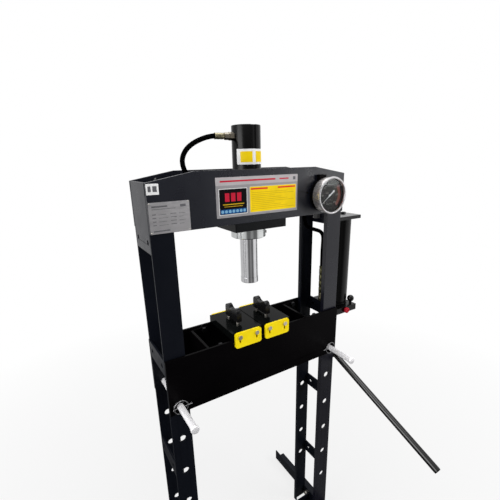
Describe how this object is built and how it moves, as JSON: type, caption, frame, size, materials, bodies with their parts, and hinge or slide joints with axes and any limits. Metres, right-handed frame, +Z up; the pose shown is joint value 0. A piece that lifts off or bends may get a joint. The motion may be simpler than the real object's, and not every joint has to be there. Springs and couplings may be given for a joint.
{
  "type": "hydraulic shop press",
  "caption": "Floor-standing hydraulic shop press: two-post frame with arched head, ram, hand pump, gauge, pinned height-set bed and press blocks",
  "frame": {"origin": "centre of the underside of the floor channel, midway between the uprights and on the ram's axis", "axes": "+Z up along the ram's axis, +X to the side that carries the hand pump, -Y toward the operator"},
  "size_m": [0.7855, 0.7922, 1.615],
  "materials": {
    "black_paint": "semi-gloss powder coat",
    "gloss_black": "gloss black enamel",
    "chrome": "ground chrome",
    "pin_steel": "bright zinc plate",
    "bolt_steel": "zinc plated",
    "case_steel": "polished stainless",
    "window": "clear",
    "dial_black": "matt black dial",
    "needle_white": "white enamel",
    "yellow_zinc": "yellow zinc plate",
    "hose_rubber": "black rubber hose",
    "handle_black": "gloss black",
    "black_plastic": "black moulding",
    "red_plastic": "red moulding",
    "yellow_paint": "gloss yellow",
    "label_white": "printed film",
    "label_grey": "printed film",
    "label_black": "printed film",
    "label_red": "printed film",
    "label_yellow": "printed film",
    "label_blue": "printed film",
    "label_metal": "brushed plate",
    "thread_steel": "dark thread"
  },
  "bodies": {
    "frame": {"post_left_front": "black_paint", "post_left_rear": "black_paint", "post_right_front": "black_paint", "post_right_rear": "black_paint", "ties_left": "black_paint", "ties_right": "black_paint", "foot_left": "black_paint", "foot_right": "black_paint", "base_cross": "black_paint", "foot_bolts": "bolt_steel", "head_front_plate": "black_paint", "head_rear_plate": "black_paint", "head_end_plate_left": "black_paint", "head_end_plate_right": "black_paint", "head_seat": "black_paint", "ram_barrel": "gloss_black", "lock_collar": "chrome", "set_screw": "bolt_steel", "gauge_flange": "black_paint", "gauge_case": "case_steel", "gauge_bezel": "case_steel", "gauge_window": "window", "gauge_dial": "dial_black", "gauge_pipe": "gloss_black", "hose": "hose_rubber", "hose_ferrule_pump": "yellow_zinc", "hose_ferrule_ram": "yellow_zinc", "ram_port": "yellow_zinc", "pump_outlet": "yellow_zinc", "pump_shelf": "black_paint", "shelf_screw": "bolt_steel", "pump_tank": "gloss_black", "pump_base": "gloss_black", "pump_barrel": "gloss_black", "lever_hanger": "black_paint", "lever_pivot_pin": "bolt_steel", "bed_front_plate": "black_paint", "bed_rear_plate": "black_paint", "bed_cross_plates": "black_paint", "bed_bolts": "bolt_steel", "press_block_left": "gloss_black", "press_block_right": "gloss_black", "block_end_plates": "yellow_paint", "block_bolts": "bolt_steel", "bow_handles": "black_plastic", "bow_bolts": "bolt_steel"},
    "ram": {"ram_rod": "chrome", "ram_nose": "chrome"},
    "lever": {"pump_lever": "gloss_black", "plunger_pin": "bolt_steel", "pump_handle": "handle_black", "handle_plug": "black_plastic"},
    "plunger": {"pump_plunger": "chrome"},
    "release_valve": {"release_knob": "red_plastic"},
    "ball_valve": {"ball_knob": "black_plastic"},
    "needle": {"gauge_needle": "needle_white"},
    "pin_left": {"bed_pin_left": "pin_steel", "pin_clips_left": "pin_steel"},
    "pin_right": {"bed_pin_right": "pin_steel", "pin_clips_right": "pin_steel"}
  },
  "joints": [
    {"name": "ram_slide", "type": "slide", "parent": "frame", "child": "ram", "axis": [0, 0, -1], "range_m": [0, 0.12], "stiffness_N_per_m": 1500, "springref_m": -0.12},
    {"name": "lever_pivot", "type": "hinge", "parent": "frame", "child": "lever", "pos_m": [0.34, -0.0278, 0.81691], "axis": [1, 0, 0], "range_deg": [-55, 0]},
    {"name": "plunger_slide", "type": "slide", "parent": "frame", "child": "plunger", "axis": [0, 0, 1], "range_m": [-0.0277, 0.0002]},
    {"name": "release_turn", "type": "hinge", "parent": "frame", "child": "release_valve", "pos_m": [0.366, -0.07, 0.99], "axis": [0, -1, 0], "range_deg": [0, 180]},
    {"name": "ball_turn", "type": "hinge", "parent": "frame", "child": "ball_valve", "pos_m": [0.408, -0.053, 1.001], "axis": [0, 0, 1], "range_deg": [0, 270]},
    {"name": "needle_turn", "type": "hinge", "parent": "frame", "child": "needle", "pos_m": [0.222, -0.11, 1.417], "axis": [0, 1, 0], "range_deg": [0, 270]},
    {"name": "pin_left_slide", "type": "slide", "parent": "frame", "child": "pin_left", "axis": [0, -1, 0], "range_m": [0, 0.185]},
    {"name": "pin_right_slide", "type": "slide", "parent": "frame", "child": "pin_right", "axis": [0, -1, 0], "range_m": [0, 0.185]}
  ],
  "couplings": [
    {"joint": "plunger_slide", "follows": "lever_pivot", "m_per_rad": 0.0287}
  ]
}
